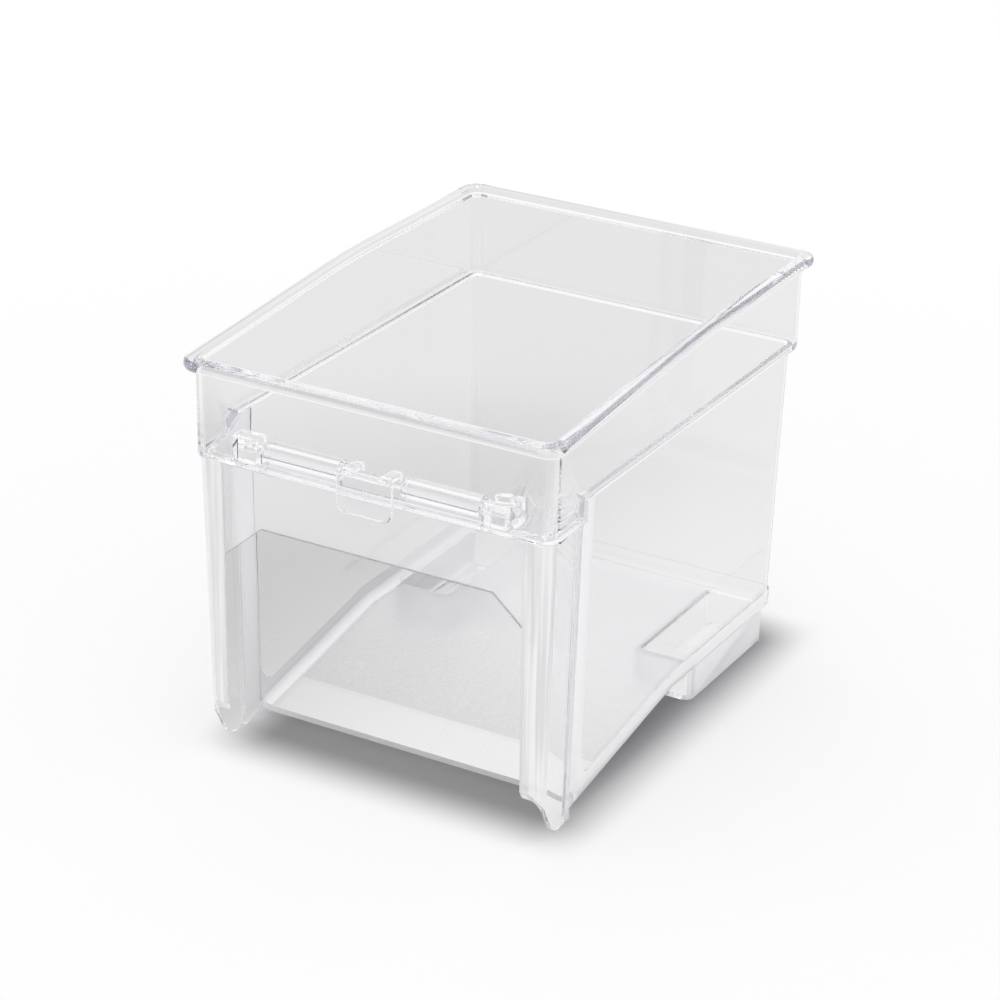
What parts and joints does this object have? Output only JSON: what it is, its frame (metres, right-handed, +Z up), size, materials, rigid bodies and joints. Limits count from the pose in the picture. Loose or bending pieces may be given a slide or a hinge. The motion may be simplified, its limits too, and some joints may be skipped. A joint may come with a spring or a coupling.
{
  "type": "stacking parts bin",
  "caption": "Clear moulded stacking bin with a dropped front rim, sloping floor, open hand access at the front and a hung inward-swinging flap on a rod.",
  "frame": {"origin": "On the ground under the middle of the rim", "axes": "X to the right seen from the open front, Y from the open front to the rear wall, Z up"},
  "size_m": [0.15, 0.2, 0.159],
  "materials": {
    "clear_plastic": "clear, colourless, glossy, with a satin floor"
  },
  "bodies": {
    "bin": {"bin_body": "clear_plastic", "hinge_rod": "clear_plastic", "keeper_clip": "clear_plastic"},
    "flap": {"front_flap": "clear_plastic"}
  },
  "joints": [
    {"name": "flap_swing", "type": "hinge", "parent": "bin", "child": "flap", "pos_m": [0, -0.0906, 0.1215], "axis": [1, 0, 0], "range_deg": [0, 90]}
  ]
}
